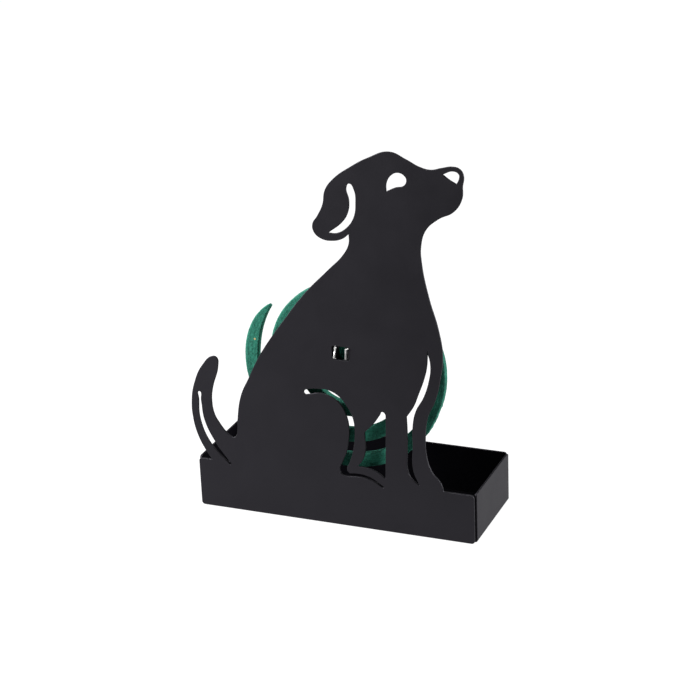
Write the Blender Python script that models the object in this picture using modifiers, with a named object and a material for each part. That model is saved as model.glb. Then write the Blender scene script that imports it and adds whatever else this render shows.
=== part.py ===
"""Dog-shaped mosquito coil holder: a sheet-steel dog plate on an ash tray, with a clip and a coil.

Metres, +Z up. The origin is the centre of the tray's underside, +X runs along the tray
and the dog plate faces -Y.
"""
import math

import bmesh
import bpy
from mathutils import Matrix, Vector

MM = 0.001

# overall sizes
PLATE_WIDTH = 175 * MM
DOG_HEIGHT = 202 * MM            # from the tray's rim to the top of the head
TRAY_HEIGHT = 31 * MM
OVERALL_DEPTH = 63 * MM
SHEET = 1.2 * MM
CORNER_RADIUS = 2 * MM           # rounded corners of the plate
FIT_GAP = 0.3 * MM               # between pieces that touch

# tray
SIDE_OVERHANG = 0.8 * MM         # each end wall stands this far outside the plate's edge
BEND_RADIUS = 1.4 * MM           # outer radius of every fold
WALL_CORNER = 1.4 * MM           # rounded top corners of the tray's walls
HIDDEN_WALL_DROP = 0.6 * MM      # the wall behind the plate stops this far below the rim

# coil
COIL_RADIUS = 66.2 * MM          # spiral's centre to the outer edge at its leftmost point
STRIP_WIDTH = 8.4 * MM
STRIP_GAP = 7.8 * MM             # free space between one turn and the next
STRIP_THICKNESS = 4.2 * MM
TAIL_START = 145.6               # degrees, counter-clockwise from +X as seen from the front
TAIL_TAPER = 32.0                # degrees over which the tail reaches its full width
SPIRAL_END = 30.0                # degrees, where the innermost turn leaves for the clip
HEAD_WIDTH = 6.3 * MM            # narrowed inner end that stands in the clip
HEAD_ARC = 7.2 * MM              # radius of the last half turn, above the clip
COIL_STANDOFF = 4.3 * MM         # plate's back to the coil's front face
COIL_DEPARTURES = [              # the pressed strip isn't a true spiral: at degrees, over degrees, outwards
    (190, 16, 1.0 * MM), (285, 18, -0.5 * MM), (312, 16, -1.8 * MM), (336, 14, -1.9 * MM),
    (356, 12, -0.4 * MM), (380, 16, 1.0 * MM), (505, 30, 0.8 * MM), (655, 24, -0.4 * MM),
    (691, 16, -2.1 * MM),
]

# clip
CLIP_X = 8.0 * MM
COIL_CENTRE_SIDE = 3.6 * MM      # spiral's centre lies this far right of the clip
RIM_CLEARANCE = 5.2 * MM         # the coil hangs this far above the tray's rim
HEAD_RISE = 4.9 * MM             # web's top to the spiral's centre
CLIP_SHEET = 1.1 * MM
LEG_HEIGHT = 10.3 * MM
TONGUE_HEIGHT = 6.7 * MM         # the part of a leg that comes through the plate's window
CLIP_REACH = 12 * MM             # how far the clip stands out behind the plate
CLIP_FLANGE = 6 * MM             # welded flange, down from the web's top
CLIP_PROUD = 0.8 * MM            # the legs' front edges stand proud of the plate
BARB = 1.1 * MM                  # small hooks on the legs' front top corners
WINDOW_MARGIN = 0.8 * MM

# The outlines are drawn on a sheet 175 wide and 202 high that stands on the tray's rim.
# "c" marks a sharp corner, the other points are passed smoothly.
DRAWN_WIDTH = 175.0
DRAWN_HEIGHT = 202.0

CHEST_AND_HEAD = [
    (69, 0, "c"), (67.6, 4.8), (62.2, 11.4), (59.2, 20), (58.6, 32), (60.4, 46), (64.6, 55.4),
    (68.5, 70.8), (70.2, 84.8), (67.9, 100.8), (63, 118), (59, 138.8), (58.8, 148.8),
    (61.8, 158.4), (69.4, 165.6), (78.6, 170.8), (83.4, 178.8), (83.8, 185.4, "c"), (84.4, 192),
    (82.2, 195.4), (78, 196.4), (71.8, 195.2), (65.2, 193.6), (58.8, 194.8), (51.6, 198.2),
    (41.4, 202), (28.8, 197.6), (17.6, 191.2), (7.6, 183.8),
]
EAR_AND_BACK = [
    (2.4, 176.8), (0.6, 168.2), (-2.8, 161.4), (-6, 156.2), (-5.4, 151.6), (-1.2, 148),
    (5.8, 147.2), (12.4, 149.2), (15.8, 152, "c"), (15.6, 146.6), (12.4, 140.2), (2.2, 129.4),
    (-11.6, 115.2), (-26.6, 96), (-42.8, 72.8), (-51.4, 56.4), (-57, 44.8), (-60.2, 28.8),
    (-60.7, 21.4), (-61.7, 18), (-63.4, 16.7), (-65.4, 17.3),
]
TAIL = [
    (-68.6, 19.9), (-72.2, 24.6), (-75.2, 30), (-76.4, 39.8), (-75.4, 46.8), (-70.8, 62.4), (-71.2, 66.8),
    (-73.8, 67.8), (-81, 61.6), (-87.4, 48.8), (-89.8, 37.4), (-89.6, 25.8), (-87, 14.8),
    (-82.6, 5.8), (-78.6, 0, "c"),
]
TAIL_SLOT = [
    (-66.6, -2, "c"), (-65.8, -1.4, "c"), (-76, 12.2), (-82.2, 25.8), (-83.6, 38.4), (-84.3, 44),
    (-85, 38.2), (-84.8, 25.4), (-78.6, 10.2),
]
EYE = [
    (39.2, 179.2, "c"), (39.6, 184.4), (42.6, 188.8), (46.4, 190.4), (50.2, 188.8), (51.2, 186.4),
    (49.4, 183.2), (44.6, 181.8),
]
NOSTRIL = [
    (72.4, 191.6, "c"), (78.8, 193.8), (81.6, 192.4), (81.8, 190.4), (80.2, 186.8, "c"),
    (76.4, 188.8),
]
EAR_SLOT = [
    (3.6, 151.8, "c"), (8.4, 152), (14.8, 156), (19.2, 162.4), (20.6, 170.4), (19.8, 178.8),
    (17.4, 181.8), (15.6, 180), (16.8, 171.6), (16, 165.2), (12.6, 159.2),
]
HIND_LEG_SLOT = [
    (32.2, -2.3, "c"), (31.6, -3, "c"), (24.7, 0.6), (17.6, 2), (5.6, 2.4), (4.6, 4.4), (6.8, 11.2), (9.2, 16.8),
    (10.6, 23.2), (11.4, 32.8), (10, 40.4), (6, 47.6), (-1.2, 51.8), (-7.6, 52.6), (-13.6, 51),
    (-15.8, 51), (-16, 52.8), (-13.4, 54.2), (-6.6, 55.2), (-0.4, 55), (6.2, 51.6), (10.8, 46),
    (13.6, 40.4), (14.8, 33.6), (14.6, 26), (13, 17), (11, 10.8), (9.2, 5.6), (10.6, 3.6, "c"),
    (17.4, 4), (24.2, 2.6),
]
BELLY_OPENING = [
    (33.2, 3.2, "c"), (28, 6.8), (22.4, 8.4), (16, 8.8, "c"), (19.4, 13.6), (21.2, 20),
    (21.2, 25.6), (21, 31.2, "c"), (27, 37.6), (30.8, 43.2), (32.4, 45.6), (34.2, 44.4),
    (34.4, 42.4),
]
FRONT_LEG_SLOT = [
    (61.1, 87.6, "c"), (62.6, 77), (61.4, 68.4), (58, 58), (53.2, 49.2), (51.2, 41.6),
    (50.6, 26), (50.6, 11.2), (54.2, 2, "c"), (50.2, 4.8), (47.6, 9.2), (47.2, 20), (47.6, 34),
    (47.4, 44.4, "c"), (51.8, 51.2), (55, 59.2), (58.8, 69.6), (60.6, 77.4),
]

# derived positions
FRONT_Y = -OVERALL_DEPTH / 2
PLATE_BACK_Y = FRONT_Y + SHEET
PAN_FRONT_Y = PLATE_BACK_Y + FIT_GAP
PAN_BACK_Y = OVERALL_DEPTH / 2
PAN_HALF_WIDTH = PLATE_WIDTH / 2 + SIDE_OVERHANG
COIL_PITCH = STRIP_WIDTH + STRIP_GAP
HEAD_ROOM = 2 * HEAD_ARC + STRIP_WIDTH     # the spiral ends before it gets tighter than this
COIL_CENTRE_X = CLIP_X + COIL_CENTRE_SIDE
COIL_CENTRE_Z = TRAY_HEIGHT + RIM_CLEARANCE + COIL_RADIUS - COIL_PITCH / 4
COIL_FRONT_Y = PLATE_BACK_Y + COIL_STANDOFF
WEB_TOP_Z = COIL_CENTRE_Z + HEAD_RISE
LEG_INSIDE = HEAD_WIDTH / 2 + FIT_GAP
LEG_OUTSIDE = LEG_INSIDE + CLIP_SHEET
LEG_TOP_Z = WEB_TOP_Z + LEG_HEIGHT
TONGUE_LOW_Z = LEG_TOP_Z - TONGUE_HEIGHT

STEEL_BLACK = (0.027, 0.027, 0.03, 1)
STEEL_BRIGHT = (0.75, 0.75, 0.76, 1)
COIL_GREEN = (0.03, 0.20, 0.12, 1)


# ---------------------------------------------------------------- scene and materials
def clear_scene():
    for obj in list(bpy.data.objects):
        bpy.data.objects.remove(obj, do_unlink=True)


def make_material(name, colour, metallic, roughness):
    material = bpy.data.materials.new(name)
    material.use_nodes = True
    shader = material.node_tree.nodes["Principled BSDF"]
    shader.inputs["Base Color"].default_value = colour
    shader.inputs["Metallic"].default_value = metallic
    shader.inputs["Roughness"].default_value = roughness
    material.diffuse_color = colour
    return material


def add_object(name, mesh, collection, material):
    obj = bpy.data.objects.new(name, mesh)
    collection.objects.link(obj)
    mesh.materials.clear()
    mesh.materials.append(material)
    return obj


# ---------------------------------------------------------------- flat shapes from outlines
def add_spline(curve, points, detail):
    """Closed Bezier outline: two-value points are smooth, points marked "c" are corners."""
    spline = curve.splines.new("BEZIER")
    spline.bezier_points.add(len(points) - 1)
    spline.use_cyclic_u = True
    spline.resolution_u = detail
    for knot, point in zip(spline.bezier_points, points):
        knot.co = (point[0], point[1], 0)
        kind = "VECTOR" if len(point) > 2 else "AUTO"
        knot.handle_left_type = knot.handle_right_type = kind


def add_polygon(curve, points):
    spline = curve.splines.new("POLY")
    spline.points.add(len(points) - 1)
    spline.use_cyclic_u = True
    for knot, point in zip(spline.points, points):
        knot.co = (point[0], point[1], 0, 1)


def cut_sheet(name, outlines, polygons, thickness, placing, detail=5):
    """Mesh of a flat sheet: outlines and polygons filled, then given their thickness.

    The drawing's x and y are laid on by the matrix `placing`; the sheet is centred on
    its own plane.
    """
    curve = bpy.data.curves.new(name, "CURVE")
    curve.dimensions = "2D"
    curve.fill_mode = "BOTH"
    curve.extrude = thickness / 2
    for points in outlines:
        add_spline(curve, points, detail)
    for points in polygons:
        add_polygon(curve, points)
    holder = bpy.data.objects.new(name + "_outline", curve)
    bpy.context.scene.collection.objects.link(holder)
    evaluated = holder.evaluated_get(bpy.context.evaluated_depsgraph_get())
    mesh = bpy.data.meshes.new_from_object(evaluated)
    bpy.data.objects.remove(holder, do_unlink=True)
    bpy.data.curves.remove(curve)
    mesh.transform(placing)
    bm = bmesh.new()
    bm.from_mesh(mesh)
    bmesh.ops.remove_doubles(bm, verts=bm.verts, dist=0.00001)
    bmesh.ops.recalc_face_normals(bm, faces=bm.faces)
    bm.to_mesh(mesh)
    bm.free()
    mesh.name = name
    return mesh


def upright(middle_y):
    """Drawing x to +X and drawing y to +Z, in the plane y = middle_y."""
    return Matrix(((1, 0, 0, 0), (0, 0, -1, middle_y), (0, 1, 0, 0), (0, 0, 0, 1)))


def sideways(middle_x):
    """Drawing x to +Y and drawing y to +Z, in the plane x = middle_x."""
    return Matrix(((0, 0, 1, middle_x), (1, 0, 0, 0), (0, 1, 0, 0), (0, 0, 0, 1)))


def arc(centre, radius, first, last, steps):
    """Points from angle `first` to `last`, in degrees."""
    points = []
    for i in range(steps + 1):
        angle = math.radians(first + (last - first) * i / steps)
        points.append((centre[0] + radius * math.cos(angle), centre[1] + radius * math.sin(angle)))
    return points


# ---------------------------------------------------------------- dog plate
def on_plate(points):
    """Outline points from the drawing, stretched to the plate's real size above the rim."""
    across = PLATE_WIDTH / DRAWN_WIDTH
    up = DOG_HEIGHT / DRAWN_HEIGHT
    return [(p[0] * across, TRAY_HEIGHT + p[1] * up) + tuple(p[2:]) for p in points]


def front_wall_corners():
    """The plate's lower part, from its rim left of the tail round to the rim at the chest."""
    half, r = PLATE_WIDTH / 2, CORNER_RADIUS
    top, inner = TRAY_HEIGHT - r, half - r
    corners = (arc((-inner, top), r, 90, 180, 4) + arc((-inner, r), r, 180, 270, 4)
               + arc((inner, r), r, 270, 360, 4) + arc((inner, top), r, 0, 90, 4))
    return [(x, z, "c") for x, z in corners]


def window_outline():
    half = LEG_OUTSIDE + WINDOW_MARGIN
    low = TONGUE_LOW_Z - WINDOW_MARGIN
    high = LEG_TOP_Z + WINDOW_MARGIN
    r = WINDOW_MARGIN
    left, right = CLIP_X - half + r, CLIP_X + half - r
    return (arc((left, high - r), r, 90, 180, 3) + arc((left, low + r), r, 180, 270, 3)
            + arc((right, low + r), r, 270, 360, 3) + arc((right, high - r), r, 0, 90, 3))


def build_plate(collection, material):
    silhouette = (front_wall_corners()
                  + on_plate(CHEST_AND_HEAD) + on_plate(EAR_AND_BACK) + on_plate(TAIL))
    holes = [on_plate(shape) for shape in (TAIL_SLOT, EYE, NOSTRIL, EAR_SLOT, HIND_LEG_SLOT,
                                           BELLY_OPENING, FRONT_LEG_SLOT)]
    mesh = cut_sheet("dog_plate", [silhouette] + holes, [window_outline()], SHEET,
                     upright(FRONT_Y + SHEET / 2))
    return add_object("dog_plate", mesh, collection, material)


# ---------------------------------------------------------------- tray pan
def fold_up_wall(bm, edge, outward, height):
    """Bends one edge of the floor upwards and raises a wall with rounded top corners."""
    r = BEND_RADIUS
    middle = (edge.verts[0].co + edge.verts[1].co) / 2
    axis = Vector(outward).cross(Vector((0, 0, 1)))
    bent = bmesh.ops.spin(bm, geom=[edge] + list(edge.verts), cent=middle + Vector((0, 0, r)),
                          axis=axis, dvec=(0, 0, 0), angle=math.radians(90), steps=4,
                          use_merge=False, use_duplicate=False)
    top = [item for item in bent["geom_last"] if isinstance(item, bmesh.types.BMEdge)]
    raised = bmesh.ops.extrude_edge_only(bm, edges=top)["geom"]
    corners = [item for item in raised if isinstance(item, bmesh.types.BMVert)]
    bmesh.ops.translate(bm, verts=corners, vec=(0, 0, height - r))
    bmesh.ops.bevel(bm, geom=corners, offset=WALL_CORNER, offset_type="OFFSET", segments=4,
                    profile=0.5, affect="VERTICES", material=-1)


def build_pan(collection, material):
    half_x = PAN_HALF_WIDTH - BEND_RADIUS
    low_y, high_y = PAN_FRONT_Y + BEND_RADIUS, PAN_BACK_Y - BEND_RADIUS
    bm = bmesh.new()
    bmesh.ops.create_grid(bm, x_segments=1, y_segments=1, size=1)
    bmesh.ops.scale(bm, vec=(half_x, (high_y - low_y) / 2, 1), verts=bm.verts)
    bmesh.ops.translate(bm, vec=(0, (high_y + low_y) / 2, 0), verts=bm.verts)
    sides = {(1, 0, 0): TRAY_HEIGHT, (-1, 0, 0): TRAY_HEIGHT, (0, 1, 0): TRAY_HEIGHT,
             (0, -1, 0): TRAY_HEIGHT - HIDDEN_WALL_DROP}
    centre = Vector((0, (high_y + low_y) / 2, 0))
    for outward, height in sides.items():
        edge = max(bm.edges, key=lambda e: ((e.verts[0].co + e.verts[1].co) / 2 - centre)
                   .dot(Vector(outward)) - 10 * abs(e.verts[0].co.z + e.verts[1].co.z))
        fold_up_wall(bm, edge, outward, height)
    bmesh.ops.recalc_face_normals(bm, faces=bm.faces)
    floor = min(bm.faces, key=lambda f: f.calc_center_median().z)
    if floor.normal.z > 0:
        bmesh.ops.reverse_faces(bm, faces=bm.faces)
    mesh = bpy.data.meshes.new("tray_pan")
    bm.to_mesh(mesh)
    bm.free()
    obj = add_object("tray_pan", mesh, collection, material)
    thickness = obj.modifiers.new("sheet", "SOLIDIFY")
    thickness.thickness = SHEET
    thickness.offset = -1
    thickness.use_even_offset = True
    return obj


# ---------------------------------------------------------------- coil clip
def box_mesh(name, low, high):
    bm = bmesh.new()
    bmesh.ops.create_cube(bm, size=1)
    bmesh.ops.translate(bm, vec=(0.5, 0.5, 0.5), verts=bm.verts)
    bmesh.ops.scale(bm, vec=[b - a for a, b in zip(low, high)], verts=bm.verts)
    bmesh.ops.translate(bm, vec=low, verts=bm.verts)
    mesh = bpy.data.meshes.new(name)
    bm.to_mesh(mesh)
    bm.free()
    return mesh


def leg_profile():
    """One leg seen from the side: a root behind the plate and a tongue through its window."""
    front, back = FRONT_Y - CLIP_PROUD, PLATE_BACK_Y + CLIP_REACH
    root = PLATE_BACK_Y + FIT_GAP
    low = WEB_TOP_Z - CLIP_SHEET * 0.7
    r = CORNER_RADIUS
    return ([(front, TONGUE_LOW_Z), (root, TONGUE_LOW_Z), (root, low)]
            + [(back, low)] + arc((back - r, LEG_TOP_Z - r), r, 0, 90, 4) + [(front, LEG_TOP_Z)])


def barb_profile(leg_right):
    """Small hook on a leg's front edge, seen from the front, leaning right."""
    top = LEG_TOP_Z - BARB * 0.15
    return [(leg_right - BARB * 0.5, top - BARB * 1.4), (leg_right + BARB * 0.9, top - BARB * 0.8),
            (leg_right + BARB * 0.9, top - BARB * 0.2), (leg_right - BARB * 0.5, top)]


def build_clip(collection, cutters, material):
    back, root = PLATE_BACK_Y + CLIP_REACH, PLATE_BACK_Y + FIT_GAP
    fold = CLIP_SHEET / 3            # the web ends inside the legs, short of their outer faces
    web = box_mesh("coil_clip", (CLIP_X - LEG_OUTSIDE + fold, root + fold, WEB_TOP_Z - CLIP_SHEET),
                   (CLIP_X + LEG_OUTSIDE - fold, back - fold, WEB_TOP_Z))
    obj = add_object("coil_clip", web, collection, material)
    flange = box_mesh("flange", (CLIP_X - LEG_INSIDE, root, WEB_TOP_Z - CLIP_FLANGE),
                      (CLIP_X + LEG_INSIDE, root + CLIP_SHEET, WEB_TOP_Z - CLIP_SHEET / 2))
    pieces = [flange]
    for side in (-1, 1):
        leg_middle = CLIP_X + side * (LEG_INSIDE + LEG_OUTSIDE) / 2
        pieces.append(cut_sheet("leg", [], [leg_profile()], CLIP_SHEET, sideways(leg_middle)))
        pieces.append(cut_sheet("barb", [], [barb_profile(leg_middle + CLIP_SHEET / 2)],
                                (CLIP_PROUD - FIT_GAP) * 0.9,
                                upright(FRONT_Y - (CLIP_PROUD + FIT_GAP) / 2)))
    for index, piece in enumerate(pieces):
        tool = add_object(f"cut_clip_{index}", piece, cutters, material)
        tool.hide_render = True
        tool.display_type = "WIRE"
        union = obj.modifiers.new(piece.name, "BOOLEAN")
        union.operation = "UNION"
        union.solver = "EXACT"
        union.object = tool
    return obj


# ---------------------------------------------------------------- mosquito coil
def spiral_radius(angle):
    """Outer edge's distance from the spiral's centre; angle in degrees, growing inwards."""
    departure = sum(outwards * math.exp(-((angle - at) / over) ** 2)
                    for at, over, outwards in COIL_DEPARTURES)
    return COIL_RADIUS - COIL_PITCH * (angle - 180) / 360 + departure


def polar(centre, radius, angle):
    turned = math.radians(angle)
    return Vector((centre[0] + radius * math.cos(turned), centre[1] + radius * math.sin(turned)))


def coil_centreline():
    """Centre points and half widths from the tail's tip to the end in the clip."""
    centre = (COIL_CENTRE_X, COIL_CENTRE_Z)
    last = SPIRAL_END + 360
    while spiral_radius(last + 360) > HEAD_ROOM:
        last += 360
    steps = round((last - TAIL_START) / 6)
    line = []
    for i in range(steps + 1):
        angle = TAIL_START + (last - TAIL_START) * i / steps
        grown = min(1.0, (angle - TAIL_START + 1) / TAIL_TAPER)
        width = STRIP_WIDTH * math.sin(grown * math.pi / 2) ** 0.6
        inner = spiral_radius(angle) - STRIP_WIDTH
        line.append((polar(centre, inner + width / 2, angle), width / 2))
    return line


def head_centreline(start, direction):
    """Smooth run from the spiral's end, over an arc and straight down into the clip."""
    arc_centre = Vector((CLIP_X + HEAD_ARC, LEG_TOP_Z + 1 * MM))
    arc_points = [Vector(p) for p in arc(arc_centre, HEAD_ARC, 60, 180, 10)]
    reach = (arc_points[0] - start).length * 0.4
    out, into = direction * reach, Vector((-math.sin(math.radians(60)), 0.5)) * reach
    joined = []
    for i in range(1, 7):
        t = i / 7
        joined.append(start * (1 - t) ** 3 + (start + out) * 3 * t * (1 - t) ** 2
                      + (arc_points[0] - into) * 3 * t ** 2 * (1 - t) + arc_points[0] * t ** 3)
    stand = [Vector((CLIP_X, WEB_TOP_Z + FIT_GAP + rise)) for rise in (LEG_HEIGHT * 0.55, 0)]
    line = joined + arc_points + stand
    wide, narrow = STRIP_WIDTH / 2, HEAD_WIDTH / 2
    count = len(line) - 2
    return [(p, wide + (narrow - wide) * min(1, i / (count - 1))) for i, p in enumerate(line)]


def build_coil(collection, material):
    line = coil_centreline()
    heading = (line[-1][0] - line[-2][0]).normalized()
    line += head_centreline(line[-1][0], heading)
    left, right = [], []
    for i, (point, half) in enumerate(line):
        before, after = line[max(i - 1, 0)][0], line[min(i + 1, len(line) - 1)][0]
        ahead = (after - before).normalized()
        across = Vector((ahead.y, -ahead.x))
        left.append(point + across * half)
        right.append(point - across * half)
    mesh = cut_sheet("mosquito_coil", [], [left + right[::-1]], STRIP_THICKNESS,
                     upright(COIL_FRONT_Y + STRIP_THICKNESS / 2))
    return add_object("mosquito_coil", mesh, collection, material)


# ---------------------------------------------------------------- build
def main():
    clear_scene()
    parts = bpy.data.collections.new("dog_mosquito_coil_holder")
    cutters = bpy.data.collections.new("cutters")
    for collection in (parts, cutters):
        bpy.context.scene.collection.children.link(collection)
    build_plate(parts, make_material("black_coat", STEEL_BLACK, 0.2, 0.5))
    build_pan(parts, make_material("black_coat_tray", STEEL_BLACK, 0.2, 0.5))
    build_clip(parts, cutters, make_material("bright_steel", STEEL_BRIGHT, 1.0, 0.25))
    build_coil(parts, make_material("coil_green", COIL_GREEN, 0.0, 0.9))


main()
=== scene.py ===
import bisect
import math

import bmesh
import bpy
from mathutils import Matrix, Vector, noise


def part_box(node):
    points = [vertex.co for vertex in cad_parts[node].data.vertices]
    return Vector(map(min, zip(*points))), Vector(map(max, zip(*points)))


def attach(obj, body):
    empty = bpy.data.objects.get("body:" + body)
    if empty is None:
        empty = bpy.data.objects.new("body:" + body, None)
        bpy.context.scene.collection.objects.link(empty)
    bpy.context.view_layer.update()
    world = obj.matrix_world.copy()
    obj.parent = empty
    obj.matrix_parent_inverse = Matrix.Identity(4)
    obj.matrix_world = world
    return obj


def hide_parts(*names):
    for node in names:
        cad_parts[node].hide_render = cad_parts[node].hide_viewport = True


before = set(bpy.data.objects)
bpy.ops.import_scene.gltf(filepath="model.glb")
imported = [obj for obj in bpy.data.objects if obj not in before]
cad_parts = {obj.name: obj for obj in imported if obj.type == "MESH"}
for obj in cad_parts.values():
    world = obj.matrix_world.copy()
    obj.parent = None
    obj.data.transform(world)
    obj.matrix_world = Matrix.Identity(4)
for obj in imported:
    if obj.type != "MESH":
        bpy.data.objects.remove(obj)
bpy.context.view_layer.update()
mm = 0.001

print("frame loaded:", ", ".join(sorted(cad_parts)))


# materials: small helpers for the node trees

def startMaterial(name):
    # returns the material, its tree, its shader and the object coordinates in millimetres
    material = bpy.data.materials.new(name)
    material.use_nodes = True
    tree = material.node_tree
    place = tree.nodes.new("ShaderNodeTexCoord")
    inMm = tree.nodes.new("ShaderNodeMapping")
    inMm.inputs["Scale"].default_value = (1000, 1000, 1000)
    tree.links.new(place.outputs["Object"], inMm.inputs["Vector"])
    return material, tree, tree.nodes["Principled BSDF"], inMm.outputs["Vector"]


def stretched(tree, where, scale, turn=(0, 0, 0)):
    node = tree.nodes.new("ShaderNodeMapping")
    node.inputs["Scale"].default_value = scale
    node.inputs["Rotation"].default_value = [math.radians(a) for a in turn]
    tree.links.new(where, node.inputs["Vector"])
    return node.outputs["Vector"]


def grain(tree, where, size, detail=3.0, rough=0.5, distort=0.0):
    # soft noise whose lumps are about size millimetres across
    node = tree.nodes.new("ShaderNodeTexNoise")
    node.inputs["Scale"].default_value = 1 / size
    node.inputs["Detail"].default_value = detail
    node.inputs["Roughness"].default_value = rough
    node.inputs["Distortion"].default_value = distort
    tree.links.new(where, node.inputs["Vector"])
    return node.outputs["Fac"]


def cells(tree, where, size):
    # distance to the nearest of scattered points, about size millimetres apart
    node = tree.nodes.new("ShaderNodeTexVoronoi")
    node.inputs["Scale"].default_value = 1 / size
    tree.links.new(where, node.inputs["Vector"])
    return node.outputs["Distance"]


def remap(tree, value, fromLow, fromHigh, toLow, toHigh):
    node = tree.nodes.new("ShaderNodeMapRange")
    for socket, number in zip(("From Min", "From Max", "To Min", "To Max"),
                              (fromLow, fromHigh, toLow, toHigh)):
        node.inputs[socket].default_value = number
    tree.links.new(value, node.inputs["Value"])
    return node.outputs["Result"]


def combine(tree, kind, first, second):
    # maths on two values; either may be a plain number
    node = tree.nodes.new("ShaderNodeMath")
    node.operation = kind
    for socket, value in zip(node.inputs, (first, second)):
        if isinstance(value, (int, float)):
            socket.default_value = value
        else:
            tree.links.new(value, socket)
    return node.outputs["Value"]


def addShares(tree, first, firstShare, second, secondShare):
    return combine(tree, "ADD", combine(tree, "MULTIPLY", first, firstShare),
                   combine(tree, "MULTIPLY", second, secondShare))


def blendColours(tree, amount, first, second):
    # mixes two colours; each may be a plain colour or a socket
    node = tree.nodes.new("ShaderNodeMix")
    node.data_type = "RGBA"
    tree.links.new(amount, node.inputs[0])
    for socket, value in zip((node.inputs[6], node.inputs[7]), (first, second)):
        if isinstance(value, tuple):
            socket.default_value = value + (1,)
        else:
            tree.links.new(value, socket)
    return node.outputs[2]


def attributeOf(tree, name):
    node = tree.nodes.new("ShaderNodeAttribute")
    node.attribute_name = name
    return node.outputs["Fac"]


def bump(tree, height, depth, under=None, strength=1.0):
    # depth is the height difference in metres; under is a coarser bump below this one
    node = tree.nodes.new("ShaderNodeBump")
    node.inputs["Strength"].default_value = strength
    node.inputs["Distance"].default_value = depth
    tree.links.new(height, node.inputs["Height"])
    if under is not None:
        tree.links.new(under, node.inputs["Normal"])
    return node.outputs["Normal"]


coatFinish = {
    "deep": (0.0026, 0.0024, 0.0036),      # darker colour, in random patches and in the hollows of the powder grain, where it is painted shade
    "raised": (0.0050, 0.0046, 0.0064),    # slightly greyer film
    "worn": (0.050, 0.049, 0.052),         # thin coat along the edges
    "dust": (0.060, 0.058, 0.055),
    "peelSize": 1.3,                       # orange peel lumps, mm
    "peelDepth": 0.012 * mm,
    "grainSize": 0.22,                     # fine powder grain, mm
    "grainDepth": 0.004 * mm,
    "gloss": 0.48,                         # specular level
    "insideShadeGloss": 0.05,                   # gloss on the faces inside the tray, kept low as painted shade
    "glossTint": (0.90, 0.86, 1.0, 1),
    "roughLow": 0.45,
    "roughHigh": 0.53,
    "cloudSize": 34,                       # slow changes of tone, mm
    "wearSize": 3.2,                       # patches of wear along the edges, mm
    "wearAmount": 0.25,
    "dustSpacing": 5.5,                    # mm
    "smearSize": 22,                       # slow changes of roughness, mm
}


def makePowderCoat(name, gloss):
    material, tree, shader, where = startMaterial(name)
    link, shape = tree.links.new, coatFinish
    cloud = grain(tree, where, shape["cloudSize"], detail=4, rough=0.55, distort=0.6)
    peel = grain(tree, where, shape["peelSize"], detail=2, rough=0.4)
    powder = grain(tree, where, shape["grainSize"], detail=3, rough=0.6)
    # the powder grain also makes the fine bump, so the coat is darker in its hollows: painted
    # shade, mixed with random tone
    tone = addShares(tree, cloud, 0.6, powder, 0.4)
    colour = blendColours(tree, remap(tree, tone, 0.36, 0.64, 0, 1), shape["deep"], shape["raised"])
    # coat worn thin along the rounded edges, broken up by noise
    rim = attributeOf(tree, "rim")
    patches = grain(tree, where, shape["wearSize"], detail=4, rough=0.6)
    wear = combine(tree, "MULTIPLY", rim, remap(tree, patches, 0.42, 0.68, 0.15, 1))
    wear = combine(tree, "MULTIPLY", wear, shape["wearAmount"])
    colour = blendColours(tree, wear, colour, shape["worn"])
    # a few specks of dust
    speck = remap(tree, cells(tree, where, shape["dustSpacing"]), 0.0, 0.035, 1, 0)
    some = remap(tree, grain(tree, where, 12, detail=1), 0.52, 0.60, 0, 0.5)
    colour = blendColours(tree, combine(tree, "MULTIPLY", speck, some), colour, shape["dust"])
    link(colour, shader.inputs["Base Color"])
    smear = grain(tree, where, shape["smearSize"], detail=4, rough=0.6)
    rough = addShares(tree, smear, 0.7, powder, 0.3)
    rough = remap(tree, rough, 0.35, 0.65, shape["roughLow"], shape["roughHigh"])
    link(rough, shader.inputs["Roughness"])
    shader.inputs["Specular IOR Level"].default_value = gloss
    shader.inputs["Specular Tint"].default_value = shape["glossTint"]
    coarse = bump(tree, peel, shape["peelDepth"])
    link(bump(tree, powder, shape["grainDepth"], under=coarse), shader.inputs["Normal"])
    return material


steelFinish = {
    "bright": (0.97, 0.97, 0.96),      # front edges, rubbed bright
    "black": (0.012, 0.012, 0.014),    # blued faces
    "scale": (0.035, 0.034, 0.036),    # greyer patches of the blued faces
    "brightUpTo": (-31.75, -31.45),    # the bright edges end between these y, mm
    "rubbedAbove": (110.7, 111.5),     # the right leg is rubbed fully above this z, mm
    "rubbedBelow": 0.42,
    "leftLegUpTo": (7.5, 8.5),         # the left leg is rubbed all over, up to this x, mm
    "nibble": 0.5,                     # how far the bright edges' border wanders, mm
    "cloudSize": 2.4,
    "lineSize": 0.12,                  # rolled lines, mm
    "lineDepth": 0.004 * mm,
}


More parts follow.
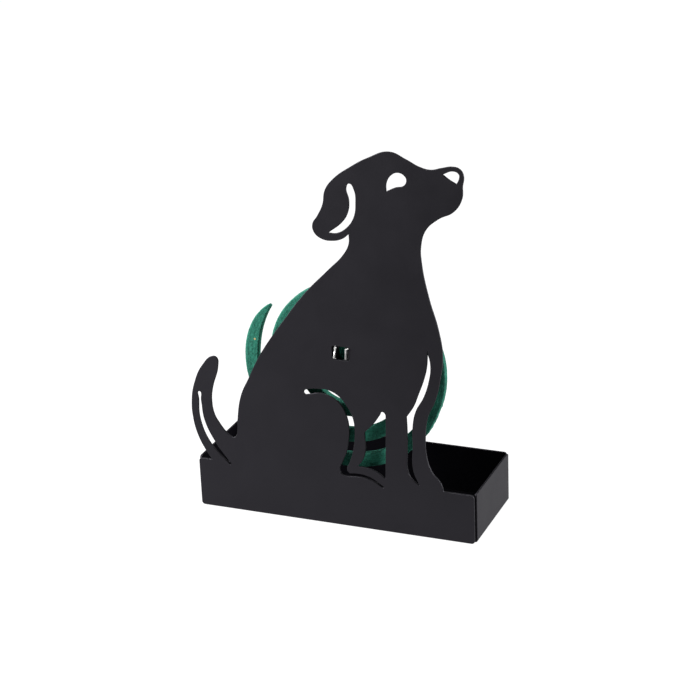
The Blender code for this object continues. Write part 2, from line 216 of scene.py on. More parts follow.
def makeSpringSteel(name):
    material, tree, shader, where = startMaterial(name)
    link, shape = tree.links.new, steelFinish
    lengthwise = stretched(tree, where, (1, 0.06, 1))
    rolled = grain(tree, lengthwise, shape["lineSize"], detail=3, rough=0.6)
    cloud = grain(tree, where, shape["cloudSize"], detail=4, rough=0.6, distort=0.8)
    nibbled = combine(tree, "MULTIPLY", grain(tree, where, 0.5, detail=2), shape["nibble"])
    split = tree.nodes.new("ShaderNodeSeparateXYZ")
    link(where, split.inputs["Vector"])
    depth = combine(tree, "ADD", split.outputs["Y"], nibbled)
    borders = [y + shape["nibble"] / 2 for y in shape["brightUpTo"]]
    bare = remap(tree, depth, *borders, 1, 0)
    leftLeg = remap(tree, split.outputs["X"], *shape["leftLegUpTo"], 1, 0)
    rubbed = remap(tree, split.outputs["Z"], *shape["rubbedAbove"], shape["rubbedBelow"], 1)
    bare = combine(tree, "MULTIPLY", bare, combine(tree, "MAXIMUM", leftLeg, rubbed))
    worn = combine(tree, "MULTIPLY", attributeOf(tree, "rim"),
                   remap(tree, cloud, 0.4, 0.6, 0.02, 0.25))
    bare = combine(tree, "MAXIMUM", bare, worn)
    face = blendColours(tree, remap(tree, cloud, 0.42, 0.7, 0, 1), shape["black"], shape["scale"])
    face = blendColours(tree, remap(tree, rolled, 0.4, 0.7, 0, 0.5), face, shape["scale"])
    link(blendColours(tree, bare, face, shape["bright"]), shader.inputs["Base Color"])
    link(bare, shader.inputs["Metallic"])
    shader.inputs["Specular IOR Level"].default_value = 0.12
    link(remap(tree, rolled, 0.3, 0.7, 0.38, 0.5), shader.inputs["Roughness"])
    fine = bump(tree, rolled, shape["lineDepth"])
    uneven = bump(tree, cloud, shape["lineDepth"] * 2, under=fine, strength=0.6)
    link(uneven, shader.inputs["Normal"])
    return material


coilFinish = {
    "deep": (0.005, 0.062, 0.042),         # darker green in the pits and between the grains: painted shade, mixed with random tone
    "face": (0.022, 0.190, 0.130),         # pressed face
    "pale": (0.120, 0.390, 0.290),         # powdery edges and rubbed high spots
    "husk": (0.62, 0.42, 0.17),            # wood and plant bits in the paste
    "huskAt": (-48.3, -26.0, 110.7),       # one larger bit on the outer turn, mm
    "grainSize": 0.5,                      # all sizes in mm
    "mottleSize": 1.2,
    "cloudSize": 9,
    "streakWidth": 0.9,
    "streakLength": 9.0,
    "pitSize": 1.6,
    "powderSize": 1.1,                     # patches along the powdery edges
    "powderAmount": 0.30,
    "huskSpacing": 6.0,
    "huskReach": (0.35, 0.75),             # the larger bit fades out between these distances
    "pitDepth": 0.12 * mm,
    "mottleDepth": 0.22 * mm,
    "grainDepth": 0.08 * mm,
}


def makeCoilGreen(name):
    material, tree, shader, where = startMaterial(name)
    link, shape = tree.links.new, coilFinish
    grains = grain(tree, where, shape["grainSize"], detail=5, rough=0.7)
    mottle = grain(tree, where, shape["mottleSize"], detail=4, rough=0.75)
    cloud = grain(tree, where, shape["cloudSize"], detail=4, rough=0.6, distort=0.7)
    pits = cells(tree, where, shape["pitSize"])
    # streaks run along the strip, as the paste was pushed
    along = tree.nodes.new("ShaderNodeCombineXYZ")
    link(attributeOf(tree, "run"), along.inputs["X"])
    link(attributeOf(tree, "across"), along.inputs["Y"])
    unrolled = stretched(tree, along.outputs["Vector"],
                         (shape["streakWidth"] / shape["streakLength"], 1, 1))
    strands = grain(tree, unrolled, shape["streakWidth"], detail=3, rough=0.6)
    # the mottle also makes the middle bump, so the paste is darker in its hollows: painted shade,
    # mixed with random cloud
    tone = addShares(tree, mottle, 0.6, cloud, 0.4)
    colour = blendColours(tree, remap(tree, tone, 0.36, 0.55, 0, 1), shape["deep"], shape["face"])
    colour = blendColours(tree, remap(tree, strands, 0.30, 0.46, 0.7, 0), colour, shape["deep"])
    colour = blendColours(tree, remap(tree, grains, 0.55, 0.70, 0, 0.75), colour, shape["pale"])
    colour = blendColours(tree, remap(tree, strands, 0.58, 0.74, 0, 0.4), colour, shape["pale"])
    # darker in the pits that the coarse bump presses in: painted shade
    colour = blendColours(tree, remap(tree, pits, 0.02, 0.22, 0.65, 0), colour, shape["deep"])
    powder = grain(tree, where, shape["powderSize"], detail=4, rough=0.7)
    powder = remap(tree, powder, 0.38, 0.62, 0, shape["powderAmount"])
    powder = combine(tree, "MULTIPLY", attributeOf(tree, "crumb"), powder)
    colour = blendColours(tree, powder, colour, shape["pale"])
    # small tan husks scattered in the paste, and a larger one
    slanted = stretched(tree, where, (1, 1, 0.55), (0, 60, 0))
    husk = remap(tree, cells(tree, slanted, shape["huskSpacing"]), 0.03, 0.06, 1, 0)
    chosen = remap(tree, grain(tree, where, 15, detail=0), 0.55, 0.58, 0, 0.85)
    colour = blendColours(tree, combine(tree, "MULTIPLY", husk, chosen), colour, shape["husk"])
    apart = tree.nodes.new("ShaderNodeVectorMath")
    apart.operation = "DISTANCE"
    link(where, apart.inputs[0])
    apart.inputs[1].default_value = shape["huskAt"]
    larger = remap(tree, apart.outputs["Value"], *shape["huskReach"], 0.95, 0)
    colour = blendColours(tree, larger, colour, shape["husk"])
    link(colour, shader.inputs["Base Color"])
    link(remap(tree, grains, 0.3, 0.7, 0.82, 0.97), shader.inputs["Roughness"])
    shader.inputs["Specular IOR Level"].default_value = 0.25
    coarse = bump(tree, pits, shape["pitDepth"])
    middle = bump(tree, mottle, shape["mottleDepth"], under=coarse)
    link(bump(tree, grains, shape["grainDepth"], under=middle), shader.inputs["Normal"])
    return material


powderCoat = makePowderCoat("black_powder_coat", coatFinish["gloss"])
# a low-gloss copy of the coat for the inside of the tray: painted shade where the walls and the
# plate keep the light out
insideShadeCoat = makePowderCoat("coat_with_painted_shade_inside", coatFinish["insideShadeGloss"])
springSteel = makeSpringSteel("blued_spring_steel")
coilGreen = makeCoilGreen("pressed_green_paste")
print("materials made")


# mesh helpers

def addObject(name, data):
    thing = bpy.data.objects.new(name, data)
    bpy.context.scene.collection.objects.link(thing)
    return thing


def finishPiece(name, bm, material, body, slotName, *nodes):
    # turns the bmesh into a piece that rides on its body and stands for its CAD nodes
    mesh = bpy.data.meshes.new(name)
    bm.to_mesh(mesh)
    bm.free()
    mesh.materials.append(material)
    piece = addObject(name, mesh)
    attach(piece, body)
    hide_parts(*nodes)
    print(name, "made,", len(mesh.polygons), "faces")
    return piece


def vertsOf(items):
    return [item for item in items if isinstance(item, bmesh.types.BMVert)]


def edgesOf(items):
    return [item for item in items if isinstance(item, bmesh.types.BMEdge)]


def everything(bm):
    return bm.verts[:] + bm.edges[:] + bm.faces[:]


def cutAcross(bm, place, normal):
    # splits the faces that this plane crosses
    return bmesh.ops.bisect_plane(bm, geom=everything(bm), dist=0.001 * mm, plane_co=place,
                                  plane_no=normal)


def roundEdges(bm, edges, size, steps, clamp=True):
    return bmesh.ops.bevel(bm, geom=edges, offset=size, offset_type="OFFSET", segments=steps,
                           profile=0.5, affect="EDGES", clamp_overlap=clamp, material=-1)["faces"]


def roundCorners(bm, corners, size, steps):
    # rounds corners in the outline of a sheet that has no thickness yet
    bmesh.ops.bevel(bm, geom=corners, offset=size, offset_type="OFFSET", segments=steps,
                    profile=0.5, affect="VERTICES", material=-1)


def roundSharpEdges(bm, size, steps, sharper=50, clamp=True):
    # rounds every edge that turns more than this many degrees, and returns the new faces
    bm.normal_update()
    sharp = [e for e in bm.edges
             if len(e.link_faces) == 2 and math.degrees(e.calc_face_angle(0)) > sharper]
    return roundEdges(bm, sharp, size, steps, clamp)


def shadeFaces(bm, flatArea):
    # big flat faces are shaded flat and everything rounded is shaded smooth
    for face in bm.faces:
        face.smooth = face.calc_area() < flatArea


def markRims(bm, rounded):
    # the rim value is 1 in the middle of a rounded edge and 0 where it meets a flat face
    layer = bm.verts.layers.float.new("rim")
    rounded = set(rounded)
    for vert in bm.verts:
        inside = bool(vert.link_faces) and all(face in rounded for face in vert.link_faces)
        vert[layer] = 1.0 if inside else 0.0


def upright(middleY):
    # drawing x to +X and drawing y to +Z
    return Matrix(((1, 0, 0, 0), (0, 0, -1, middleY), (0, 1, 0, 0), (0, 0, 0, 1)))


# dog plate: the CAD plate's own outlines, smoothed and with rounded edges

plateShape = {
    "edgeRound": 0.25 * mm,
    "roundSteps": 2,
    "curveSteps": 3,          # extra points between two outline points
    "sharpTurn": 30,          # degrees; a sharper turn stays a corner
}


def frontOutlines(node):
    # the outer outline and the holes of a node's front face, as closed loops of drawing points
    bm = bmesh.new()
    bm.from_mesh(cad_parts[node].data)
    bmesh.ops.remove_doubles(bm, verts=bm.verts, dist=0.01 * mm)
    bm.normal_update()
    bmesh.ops.delete(bm, geom=[f for f in bm.faces if f.normal.y > -0.9], context="FACES")
    bm.verts.index_update()
    neighbours = {}
    for edge in bm.edges:
        if len(edge.link_faces) == 1:
            first, second = edge.verts
            neighbours.setdefault(first.index, []).append(second.index)
            neighbours.setdefault(second.index, []).append(first.index)
    bm.verts.ensure_lookup_table()
    outlines, left = [], set(neighbours)
    while left:
        here = min(left)
        loop = []
        while here is not None:
            loop.append(Vector((bm.verts[here].co.x, bm.verts[here].co.z, 0)))
            left.discard(here)
            here = next((n for n in neighbours[here] if n in left), None)
        outlines.append(loop)
    bm.free()
    return outlines


def addOutline(curve, points):
    spline = curve.splines.new("BEZIER")
    spline.bezier_points.add(len(points) - 1)
    spline.use_cyclic_u = True
    spline.resolution_u = plateShape["curveSteps"]
    for i, knot in enumerate(spline.bezier_points):
        here = points[i]
        arriving, leaving = here - points[i - 1], points[(i + 1) % len(points)] - here
        knot.co = here
        if math.degrees(arriving.angle(leaving)) > plateShape["sharpTurn"]:
            knot.handle_left_type = knot.handle_right_type = "VECTOR"
        else:
            heading = (arriving.normalized() + leaving.normalized()).normalized()
            reach = min(arriving.length, leaving.length) / 3
            knot.handle_left_type = knot.handle_right_type = "FREE"
            knot.handle_left, knot.handle_right = here - heading * reach, here + heading * reach


def makeDogPlate():
    low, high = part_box("dog_plate")
    thickness, edgeRound = high.y - low.y, plateShape["edgeRound"]
    curve = bpy.data.curves.new("plateOutline", "CURVE")
    curve.dimensions, curve.fill_mode = "2D", "BOTH"
    curve.extrude = thickness / 2 - edgeRound
    curve.bevel_depth, curve.offset = edgeRound, -edgeRound
    curve.bevel_resolution = plateShape["roundSteps"]
    for points in frontOutlines("dog_plate"):
        addOutline(curve, points)
    drawn = addObject("plateOutline", curve)
    evaluated = drawn.evaluated_get(bpy.context.evaluated_depsgraph_get())
    mesh = bpy.data.meshes.new_from_object(evaluated)
    bpy.data.objects.remove(drawn, do_unlink=True)
    mesh.transform(upright((low.y + high.y) / 2))
    bm = bmesh.new()
    bm.from_mesh(mesh)
    bmesh.ops.remove_doubles(bm, verts=bm.verts, dist=0.002 * mm)
    bmesh.ops.recalc_face_normals(bm, faces=bm.faces)
    for vert in bm.verts:          # the smoothed outline may bulge by a hair
        vert.co = [min(max(c, a), b) for c, a, b in zip(vert.co, low, high)]
    bm.normal_update()
    flat = [face for face in bm.faces if abs(face.normal.y) > 0.999]
    markRims(bm, set(bm.faces) - set(flat))
    for face in bm.faces:
        face.smooth = abs(face.normal.y) < 0.999
    return finishPiece("dogPlate", bm, powderCoat, "holder", "black_coat", "dog_plate")


makeDogPlate()


# tray pan: one folded sheet with rounded bends and rims

panShape = {
    "sheet": 1.2 * mm,
    "bendRadius": 1.4 * mm,
    "cornerRadius": 1.4 * mm,
    "hiddenDrop": 0.6 * mm,       # the wall behind the dog plate is this much lower
    "bendSteps": 8,
    "cornerSteps": 7,
    "edgeRound": 0.22 * mm,
    "edgeSteps": 3,
    "flatSide": 20 * mm,          # faces larger than this squared are shaded flat
}


def raiseWall(bm, edge, outward, height):
    # bends one edge of the floor upwards and raises a wall with rounded top corners
    r = panShape["bendRadius"]
    middle = (edge.verts[0].co + edge.verts[1].co) / 2
    bent = bmesh.ops.spin(bm, geom=[edge] + list(edge.verts), cent=middle + Vector((0, 0, r)),
                          axis=Vector(outward).cross(Vector((0, 0, 1))), dvec=(0, 0, 0),
                          angle=math.radians(90), steps=panShape["bendSteps"],
                          use_merge=False, use_duplicate=False)
    raised = bmesh.ops.extrude_edge_only(bm, edges=edgesOf(bent["geom_last"]))["geom"]
    corners = vertsOf(raised)
    bmesh.ops.translate(bm, verts=corners, vec=(0, 0, height - r))
    roundCorners(bm, corners, panShape["cornerRadius"], panShape["cornerSteps"])


def makeTrayPan():
    low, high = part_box("tray_pan")
    r = panShape["bendRadius"]
    centre, half = (low + high) / 2, (high - low) / 2
    bm = bmesh.new()
    bmesh.ops.create_grid(bm, x_segments=1, y_segments=1, size=1)
    bmesh.ops.scale(bm, vec=(half.x - r, half.y - r, 1), verts=bm.verts)
    bmesh.ops.translate(bm, vec=(centre.x, centre.y, 0), verts=bm.verts)
    walls = {(1, 0, 0): high.z, (-1, 0, 0): high.z, (0, 1, 0): high.z,
             (0, -1, 0): high.z - panShape["hiddenDrop"]}
    middle = Vector((centre.x, centre.y, 0))
    for outward, height in walls.items():
        edge = max(bm.edges, key=lambda e: ((e.verts[0].co + e.verts[1].co) / 2 - middle)
                   .dot(Vector(outward)) - 10 * abs(e.verts[0].co.z + e.verts[1].co.z))
        raiseWall(bm, edge, outward, height)
    bmesh.ops.recalc_face_normals(bm, faces=bm.faces)
    floorFace = min(bm.faces, key=lambda f: f.calc_center_median().z)
    if floorFace.normal.z > 0:
        bmesh.ops.reverse_faces(bm, faces=bm.faces)
    bmesh.ops.solidify(bm, geom=bm.faces[:], thickness=panShape["sheet"])
    bmesh.ops.recalc_face_normals(bm, faces=bm.faces)
    markRims(bm, roundSharpEdges(bm, panShape["edgeRound"], panShape["edgeSteps"]))
    for face in bm.faces:          # the faces that look into the tray take the low-gloss copy of the coat, which paints shade inside the tray
        inwards = [min(half.x - abs(v.co.x - centre.x), half.y - abs(v.co.y - centre.y), v.co.z)
                   for v in face.verts]
        face.material_index = 1 if min(inwards) > panShape["sheet"] * 0.95 else 0
    shadeFaces(bm, panShape["flatSide"] ** 2)
    pan = finishPiece("trayPan", bm, powderCoat, "holder", "black_coat", "tray_pan")
    pan.data.materials.append(insideShadeCoat)
    return pan


makeTrayPan()


# coil clip: a folded U of blued spring steel whose legs come through the plate's window

clipShape = {
    "centreX": 8.0 * mm,
    "sheet": 1.1 * mm,
    "legOutside": 4.0 * mm,       # from the clip's middle to a leg's outer face
    "webMiddle": 103.25 * mm,     # height of the middle of the web's sheet
    "bendRadius": 0.85 * mm,      # to the outer face
    "rootY": -30.0 * mm,
    "flangeLength": 6.0 * mm,
    "tongueRise": 3.6 * mm,       # the tongues start this far above the web
    "backCorner": 2.0 * mm,
    "edgeRound": 0.32 * mm,
    "edgeSteps": 3,
    "flatSide": 2.0 * mm,         # faces larger than this squared are shaded flat
    "leans": (1.35 * mm, 0.3 * mm),          # left and right tongue, top to the right
    "hookRadius": (0.80 * mm, 0.95 * mm),    # the lips that curl over to the right
    "hookSheet": (0.75 * mm, 0.5 * mm),
    "hookTurn": (125, 110),                  # degrees
    "hookDepth": 0.66 * mm,       # stops short of the plate's front
    "hookSetBack": 0.35 * mm,     # from the tongue's front edge to the hook's middle
    "hookTop": 114.05 * mm,
    "earReach": 2.2 * mm,         # ears behind the plate, outwards from the legs
    "earSheet": 0.9 * mm,
    "earRound": 0.2 * mm,
    "earRise": (-1.2 * mm, 1.5 * mm),        # below the tongues' foot and above their top
    "nickHeight": 110.9 * mm,     # small nick across the left tongue's front edge
    "nickDepth": 0.35 * mm,
    "nickHalfWidth": 0.22 * mm,
}


def addEar(bm, sides, frontY, heights):
    # a flat ear behind the plate that stiffens the leg
    ear = bmesh.ops.create_cube(bm, size=1)["verts"]
    sheet = clipShape["earSheet"]
    bmesh.ops.scale(bm, vec=(abs(sides[1] - sides[0]), sheet, heights[1] - heights[0]), verts=ear)
    bmesh.ops.translate(bm, vec=(sum(sides) / 2, frontY + sheet / 2, sum(heights) / 2), verts=ear)
    edges = list({edge for vert in ear for edge in vert.link_edges})
    roundEdges(bm, edges, clipShape["earRound"], 2)


def addHook(bm, startX, centreZ, radius, sheet, turn, frontY):
    # a strip that rises from the tongue and curls over to the right
    strip = bmesh.ops.create_grid(bm, x_segments=1, y_segments=1, size=0.5)["verts"]
    bmesh.ops.scale(bm, vec=(sheet, clipShape["hookDepth"], 1), verts=strip)
    bmesh.ops.translate(bm, vec=(startX, frontY + clipShape["hookSetBack"], centreZ), verts=strip)
    faces = list({face for vert in strip for face in vert.link_faces})
    edges = list({edge for vert in strip for edge in vert.link_edges})
    made = bmesh.ops.spin(bm, geom=faces + edges + strip, cent=(startX + radius, 0, centreZ),
                          axis=(0, 1, 0), dvec=(0, 0, 0), angle=math.radians(turn), steps=8,
                          use_merge=False, use_duplicate=False)
    # everything joined to the strip's end is the hook
    last = vertsOf(made["geom_last"])
    grown, todo = set(last), list(last)
    while todo:
        for edge in todo.pop().link_edges:
            for vert in edge.verts:
                if vert not in grown:
                    grown.add(vert)
                    todo.append(vert)
    own = list({face for vert in grown for face in vert.link_faces})
    bmesh.ops.recalc_face_normals(bm, faces=own)
    ends = list({e for e in bm.edges if e.verts[0] in grown and len(e.link_faces) == 2
                 and e.calc_face_angle(0) > math.radians(50)})
    roundEdges(bm, ends, sheet * 0.22, 2)


def makeCoilClip():
    low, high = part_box("coil_clip")
    shape = clipShape
    half, r = shape["sheet"] / 2, shape["bendRadius"]
    webZ, topZ, x = shape["webMiddle"] - half, high.z, shape["centreX"]
    rootY, tongueFoot = shape["rootY"], shape["webMiddle"] + shape["tongueRise"]
    straight, hair = shape["legOutside"] - r, half / 10

    bm = bmesh.new()
    ends = [bm.verts.new((x + side * straight, rootY, webZ)) for side in (-1, 1)]
    bm.edges.new(ends)
    for side, end in zip((-1, 1), ends):
        bent = bmesh.ops.spin(bm, geom=[end], cent=end.co + Vector((0, 0, r)), axis=(0, -side, 0),
                              dvec=(0, 0, 0), angle=math.radians(90), steps=6,
                              use_merge=False, use_duplicate=False)
        last = vertsOf(bent["geom_last"])
        raised = bmesh.ops.extrude_vert_indiv(bm, verts=last)["verts"]
        bmesh.ops.translate(bm, verts=raised, vec=(0, 0, topZ - webZ - r))
    deep = bmesh.ops.extrude_edge_only(bm, edges=bm.edges[:])["geom"]
    bmesh.ops.translate(bm, verts=vertsOf(deep), vec=(0, high.y - rootY, 0))
    corners = [v for v in bm.verts if v.co.z > topZ - half and v.co.y > high.y - half]
    roundCorners(bm, corners, shape["backCorner"], 6)

    # tongues: the upper part of each leg's front edge goes on through the window
    cutAcross(bm, (0, 0, tongueFoot), (0, 0, 1))
    tongueEdges = [e for e in bm.edges if all(abs(v.co.y - rootY) < hair for v in e.verts)
                   and min(v.co.z for v in e.verts) > tongueFoot - shape["tongueRise"] / 2]
    tongues = bmesh.ops.extrude_edge_only(bm, edges=tongueEdges)["geom"]
    bmesh.ops.translate(bm, verts=vertsOf(tongues), vec=(0, low.y - rootY, 0))

    # flange: the web's front edge turns down behind the plate
    webEdge = [e for e in bm.edges
               if all(abs(v.co.y - rootY) < hair and abs(v.co.z - webZ) < hair
                      and abs(v.co.x - x) < straight + hair for v in e.verts)]
    down = bmesh.ops.extrude_edge_only(bm, edges=webEdge)["geom"]
    bmesh.ops.translate(bm, verts=vertsOf(down), vec=(0, half, -shape["flangeLength"] + half))
    bmesh.ops.recalc_face_normals(bm, faces=bm.faces)
    bmesh.ops.solidify(bm, geom=bm.faces[:], thickness=shape["sheet"])
    bmesh.ops.recalc_face_normals(bm, faces=bm.faces)
    markRims(bm, roundSharpEdges(bm, shape["edgeRound"], shape["edgeSteps"], clamp=False))

    # nick: three slanting cuts, and the middle one pushed in
    for step in (-1, 0, 1):
        nickZ = shape["nickHeight"] + step * shape["nickHalfWidth"]
        nick = cutAcross(bm, (x - shape["legOutside"], 0, nickZ), (-0.35, 0, 1))
        if step == 0:
            for vert in vertsOf(nick["geom_cut"]):
                if vert.co.x < x and vert.co.y < low.y + shape["edgeRound"] * 1.1:
                    vert.co.y += shape["nickDepth"]

    # each tongue leans from its root to its front edge, and gets an ear and a hook
    middleZ = (topZ + tongueFoot) / 2
    for side, lean, radius, sheet, turn in zip((-1, 1), shape["leans"], shape["hookRadius"],
                                               shape["hookSheet"], shape["hookTurn"]):
        legX = x + side * shape["legOutside"]
        for vert in bm.verts:
            ahead = (rootY - vert.co.y) / (rootY - low.y)
            if abs(vert.co.x - legX) < shape["sheet"] and ahead > 0:
                rise = (vert.co.z - middleZ) / (topZ - tongueFoot)
                vert.co.x += lean * min(1, ahead) * rise
        earSides = (legX + side * half * 0.6, legX + side * (half + shape["earReach"]))
        earHeights = (tongueFoot + shape["earRise"][0], topZ + shape["earRise"][1])
        addEar(bm, earSides, rootY, earHeights)
        hookZ = shape["hookTop"] - sheet / 2 - radius
        addHook(bm, legX + lean / 2, hookZ, radius, sheet, turn, low.y)
    shadeFaces(bm, shape["flatSide"] ** 2)
    return finishPiece("coilClip", bm, springSteel, "holder", "bright_steel", "coil_clip")


makeCoilClip()


# mosquito coil: a straight bar of pressed paste, wound up on the spiral

coilShape = {
    "outerRadius": 66.15 * mm,    # at the leftmost point of a true spiral
    "stripWidth": 8.4 * mm,
    "pitch": 16.2 * mm,
    # where the strip leaves the true spiral: at degrees, over degrees, outwards
    "departures": [(190, 16, 1.0 * mm), (285, 18, -0.5 * mm), (312, 16, -1.8 * mm),
                   (336, 14, -1.9 * mm), (356, 12, -0.4 * mm), (380, 16, 1.0 * mm),
                   (505, 30, 0.8 * mm), (655, 24, -0.4 * mm), (691, 16, -2.1 * mm)],
    "centreX": 11.6 * mm,
    "centreZ": 98.35 * mm,
    "tailStart": 145.6,
    "tailTaper": 32.0,
    "spiralEnd": 1110.0,
    "headArc": 7.2 * mm,
    "headWidth": 6.3 * mm,
    "headTop": 114.55 * mm,       # centre of the last arc
    "headFoot": 103.60 * mm,
    "headX": 8.0 * mm,
    "edgeRound": 0.75 * mm,
    "stepLength": 0.62 * mm,
    "acrossCuts": 7,
    "depthCuts": 3,
    "grainDepth": 0.14 * mm,
    "chipDepth": 0.55 * mm,
    "chipped": (312, 354),        # the outer edge is crumbled between these degrees
    "chippedElsewhere": 0.28,
}


def outerEdge(angle):
    # the outer edge's distance from the spiral's centre; the angle grows inwards, in degrees
    shape = coilShape
    departure = sum(out * math.exp(-((angle - at) / over) ** 2)
                    for at, over, out in shape["departures"])
    return shape["outerRadius"] - shape["pitch"] * (angle - 180) / 360 + departure


def coilPath():
    # centre points and half widths from the tail's tip to the end in the clip
    shape = coilShape
    centre = Vector((shape["centreX"], shape["centreZ"]))
    path, steps = [], round((shape["spiralEnd"] - shape["tailStart"]) / 2)
    for i in range(steps + 1):
        angle = shape["tailStart"] + (shape["spiralEnd"] - shape["tailStart"]) * i / steps
        grown = min(1.0, (angle - shape["tailStart"] + 1) / shape["tailTaper"])
        width = shape["stripWidth"] * math.sin(grown * math.pi / 2) ** 0.6
        turned = math.radians(angle)
        middle = outerEdge(angle) - shape["stripWidth"] + width / 2
        path.append((centre + Vector((math.cos(turned), math.sin(turned))) * middle, width / 2))
    start = path[-1][0]
    heading = (start - path[-2][0]).normalized()
    arcCentre = Vector((shape["headX"] + shape["headArc"], shape["headTop"]))
    arcPoints = []
    for i in range(31):
        turned = math.radians(60 + 4 * i)
        outwards = Vector((math.cos(turned), math.sin(turned)))
        arcPoints.append(arcCentre + outwards * shape["headArc"])
    reach = (arcPoints[0] - start).length * 0.4
    arriving = Vector((-math.sin(math.radians(60)), 0.5)) * reach
    head = []
    for i in range(1, 21):
        t = i / 21
        head.append(start * (1 - t) ** 3 + (start + heading * reach) * 3 * t * (1 - t) ** 2
                    + (arcPoints[0] - arriving) * 3 * t ** 2 * (1 - t) + arcPoints[0] * t ** 3)
    foot = Vector((shape["headX"], shape["headFoot"]))
    head += arcPoints + [arcPoints[-1].lerp(foot, 0.5), foot]
    wide, narrow = shape["stripWidth"] / 2, shape["headWidth"] / 2
    for i, point in enumerate(head):
        path.append((point, wide + (narrow - wide) * min(1, i / (len(head) - 3))))
    return path


def makeMosquitoCoil():
    low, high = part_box("mosquito_coil")
    shape = coilShape
    path = coilPath()
    runs = [0.0]
    for (before, _), (after, _) in zip(path, path[1:]):
        runs.append(runs[-1] + (after - before).length)
    headings = []
    for i in range(len(path)):
        headings.append((path[min(i + 1, len(path) - 1)][0] - path[max(i - 1, 0)][0]).normalized())
    length, width, thickness = runs[-1], shape["stripWidth"], high.y - low.y

    # the straight bar, with rounded edges and enough cuts to take the relief
    bm = bmesh.new()
    bmesh.ops.create_cube(bm, size=1)
    bmesh.ops.scale(bm, vec=(length, thickness, width), verts=bm.verts)
    bmesh.ops.translate(bm, vec=(length / 2, 0, 0), verts=bm.verts)
    bmesh.ops.bevel(bm, geom=bm.edges[:], offset=shape["edgeRound"], offset_type="OFFSET",
                    segments=3, profile=0.5, affect="EDGES", material=-1)
    flatHalf = width / 2 - shape["edgeRound"]
    for i in range(1, shape["acrossCuts"] + 1):
        level = -flatHalf + 2 * flatHalf * i / (shape["acrossCuts"] + 1)
        cutAcross(bm, (0, 0, level), (0, 0, 1))
    flatHalf = thickness / 2 - shape["edgeRound"]
    for i in range(1, shape["depthCuts"] + 1):
        level = -flatHalf + 2 * flatHalf * i / (shape["depthCuts"] + 1)
        cutAcross(bm, (0, level, 0), (0, 1, 0))
    lengthwise = [e for e in bm.edges if abs(e.verts[0].co.x - e.verts[1].co.x) > length / 2]
    bmesh.ops.subdivide_edges(bm, edges=lengthwise, cuts=round(length / shape["stepLength"]),
                              use_grid_fill=True)
    print("bar cut:", len(bm.verts), "points")

    # wind the bar onto the path, and note how near an edge each point lies and where it was
    crumb, runLayer, acrossLayer = (bm.verts.layers.float.new(name)
                                    for name in ("crumb", "run", "across"))
    middleY = (low.y + high.y) / 2
    where = {}
    for vert in bm.verts:
        run = min(max(vert.co.x, 0.0), length)
        i = min(bisect.bisect_right(runs, run), len(runs) - 1) - 1
        t = (run - runs[i]) / (runs[i + 1] - runs[i])
        point = path[i][0].lerp(path[i + 1][0], t)
        half = path[i][1] + (path[i + 1][1] - path[i][1]) * t
        heading = headings[i].lerp(headings[i + 1], t).normalized()
        side = vert.co.z / (width / 2)                      # 1 on the outer edge of the spiral
        across = Vector((heading.y, -heading.x)) * (side * half)
        nearSide = max(0.0, abs(side) - 0.72) / 0.28
        nearFace = max(0.0, abs(vert.co.y) / (thickness / 2) - 0.2) / 0.8
        vert[crumb] = min(1.0, nearSide * nearFace * 1.3)
        vert[runLayer], vert[acrossLayer] = run / mm, side * half / mm + (vert.co.y / mm) * 3
        where[vert] = (run, side)
        vert.co = (point.x + across.x, middleY + vert.co.y, point.y + across.y)
    bmesh.ops.recalc_face_normals(bm, faces=bm.faces)
    bm.normal_update()

    # press the grain in, and crumble the edges
    middleRadius = 58 * mm         # of the outer turn
    chipsFrom, chipsTo = (math.radians(angle - shape["tailStart"]) * middleRadius
                          for angle in shape["chipped"])
    moves = {}
    for vert, (run, side) in where.items():
        at = vert.co / mm
        lump = 0.5 + 0.5 * noise.noise(at * 0.45)
        fine = 0.5 + 0.5 * noise.noise(at * 1.7 + Vector((7, 3, 1)))
        depth = shape["grainDepth"] * (0.7 * lump + 0.5 * fine)
        ragged = max(0.0, noise.noise(at * 0.45 + Vector((19, 5, 2))) - 0.05)
        onSide = max(0.0, abs(side) - 0.75) / 0.25
        chipped = 1.0 if side > 0 and chipsFrom < run < chipsTo else shape["chippedElsewhere"]
        depth += shape["chipDepth"] * ragged * onSide * chipped
        moves[vert] = -vert.normal * depth
    for vert, move in moves.items():
        vert.co += move
    for face in bm.faces:
        face.smooth = True
    return finishPiece("mosquitoCoil", bm, coilGreen, "coil", "coil_green", "mosquito_coil")


makeMosquitoCoil()


# floor, light and camera

studio = {
    "floorSize": 30.0,
    "floorColour": (0.10, 0.10, 0.10, 1),    # dark under its glow, so little light bounces
    "floorSeen": 1.0,               # the floor as the camera sees it
    "floorGlow": (0.03, 0.44),      # as a light: far in front, and around and behind the object
    "glowFade": (-0.52, -0.08),     # between these distances, metres
    "skySeen": 1.0,
    "skyGlow": 0.07,
    "aim": (0.0, 0.0, 0.1),
}

softboxes = {                       # place and size in metres, power in watts
    "keyLight": ((-0.56, -0.30, 0.40), 0.3, 9.6),
    "topLight": ((0.0, 0.30, 1.40), 0.9, 8.0),
    "sideLight": ((0.90, 0.20, 0.25), 0.5, 9.0),
}

shotCamera = {                      # degrees, metres, and the lens in mm
    "azimuth": 22.76,
    "elevation": 22.14,
    "roll": -2.27,
    "distance": 1.2014,
    "target": (0.0140, -0.0314, 0.11306),
    "lens": 108.1,
}


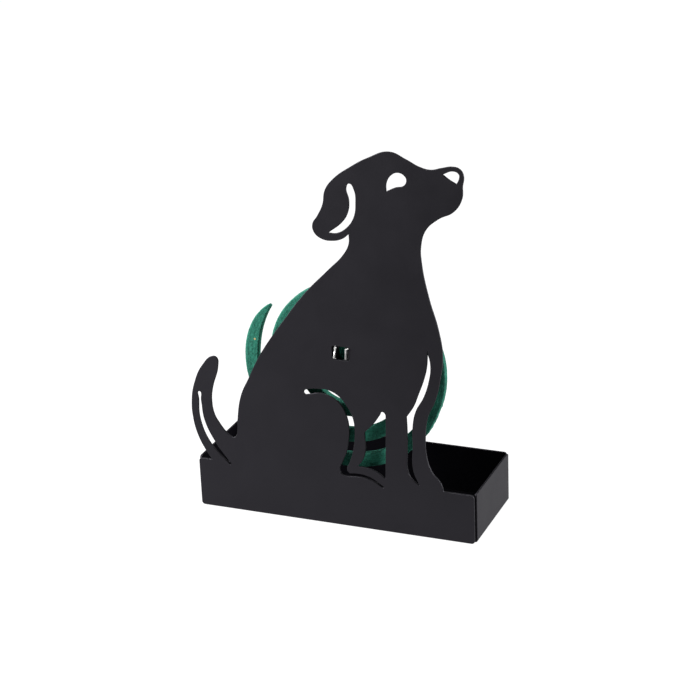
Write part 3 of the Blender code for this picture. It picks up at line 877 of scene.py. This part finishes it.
def makeFloor():
    bm = bmesh.new()
    bmesh.ops.create_grid(bm, x_segments=4, y_segments=4, size=studio["floorSize"] / 2)
    bmesh.ops.translate(bm, vec=(0, 0, -0.3 * mm), verts=bm.verts)
    mesh = bpy.data.meshes.new("floor")
    bm.to_mesh(mesh)
    bm.free()
    material = bpy.data.materials.new("pale_floor")
    material.use_nodes = True
    shader = material.node_tree.nodes["Principled BSDF"]
    shader.inputs["Base Color"].default_value = studio["floorColour"]
    shader.inputs["Roughness"].default_value = 0.9
    shader.inputs["Specular IOR Level"].default_value = 0.0
    shader.inputs["Emission Color"].default_value = (1, 1, 1, 1)
    tree = material.node_tree
    place = tree.nodes.new("ShaderNodeTexCoord")
    split = tree.nodes.new("ShaderNodeSeparateXYZ")
    tree.links.new(place.outputs["Object"], split.inputs["Vector"])
    glow = remap(tree, split.outputs["Y"], *studio["glowFade"], *studio["floorGlow"])
    path = tree.nodes.new("ShaderNodeLightPath")
    seen = combine(tree, "MULTIPLY", path.outputs["Is Camera Ray"], studio["floorSeen"])
    tree.links.new(combine(tree, "MAXIMUM", seen, glow), shader.inputs["Emission Strength"])
    mesh.materials.append(material)
    floor = addObject("floor", mesh)


def makeSky():
    # white to the camera, and a weak light to everything else
    world = bpy.data.worlds.new("studio")
    world.use_nodes = True
    tree = world.node_tree
    seen, lit = tree.nodes["Background"], tree.nodes.new("ShaderNodeBackground")
    seen.inputs["Strength"].default_value = studio["skySeen"]
    seen.inputs["Color"].default_value = lit.inputs["Color"].default_value = (1, 1, 1, 1)
    lit.inputs["Strength"].default_value = studio["skyGlow"]
    path = tree.nodes.new("ShaderNodeLightPath")
    mix = tree.nodes.new("ShaderNodeMixShader")
    tree.links.new(path.outputs["Is Camera Ray"], mix.inputs["Fac"])
    tree.links.new(lit.outputs["Background"], mix.inputs[1])
    tree.links.new(seen.outputs["Background"], mix.inputs[2])
    tree.links.new(mix.outputs["Shader"], tree.nodes["World Output"].inputs["Surface"])
    bpy.context.scene.world = world


def makeSoftbox(name, place, size, power):
    light = bpy.data.lights.new(name, "AREA")
    light.shape, light.size, light.energy = "SQUARE", size, power
    box = addObject(name, light)
    box.location = place
    towards = Vector(studio["aim"]) - Vector(place)
    box.rotation_euler = towards.to_track_quat("-Z", "Y").to_euler()


def makeCamera():
    a, e, r = (math.radians(shotCamera[key]) for key in ("azimuth", "elevation", "roll"))
    back = Vector((math.sin(a) * math.cos(e), -math.cos(a) * math.cos(e), math.sin(e)))
    level = (-back).cross(Vector((0, 0, 1))).normalized()
    up = level.cross(-back)
    across = level * math.cos(r) + up * math.sin(r)
    upward = up * math.cos(r) - level * math.sin(r)
    data = bpy.data.cameras.new("shotCamera")
    data.sensor_width, data.lens = 36, shotCamera["lens"]
    data.clip_start, data.clip_end = 0.01, 60
    camera = addObject("shotCamera", data)
    place = Vector(shotCamera["target"]) + back * shotCamera["distance"]
    turned = Matrix((across, upward, back)).transposed().to_4x4()
    camera.matrix_world = Matrix.Translation(place) @ turned
    bpy.context.scene.camera = camera


makeFloor()
makeSky()
for name, (place, size, power) in softboxes.items():
    makeSoftbox(name, place, size, power)
makeCamera()
bpy.context.scene.view_settings.view_transform = "Standard"
print("studio made")

bpy.context.view_layer.update()
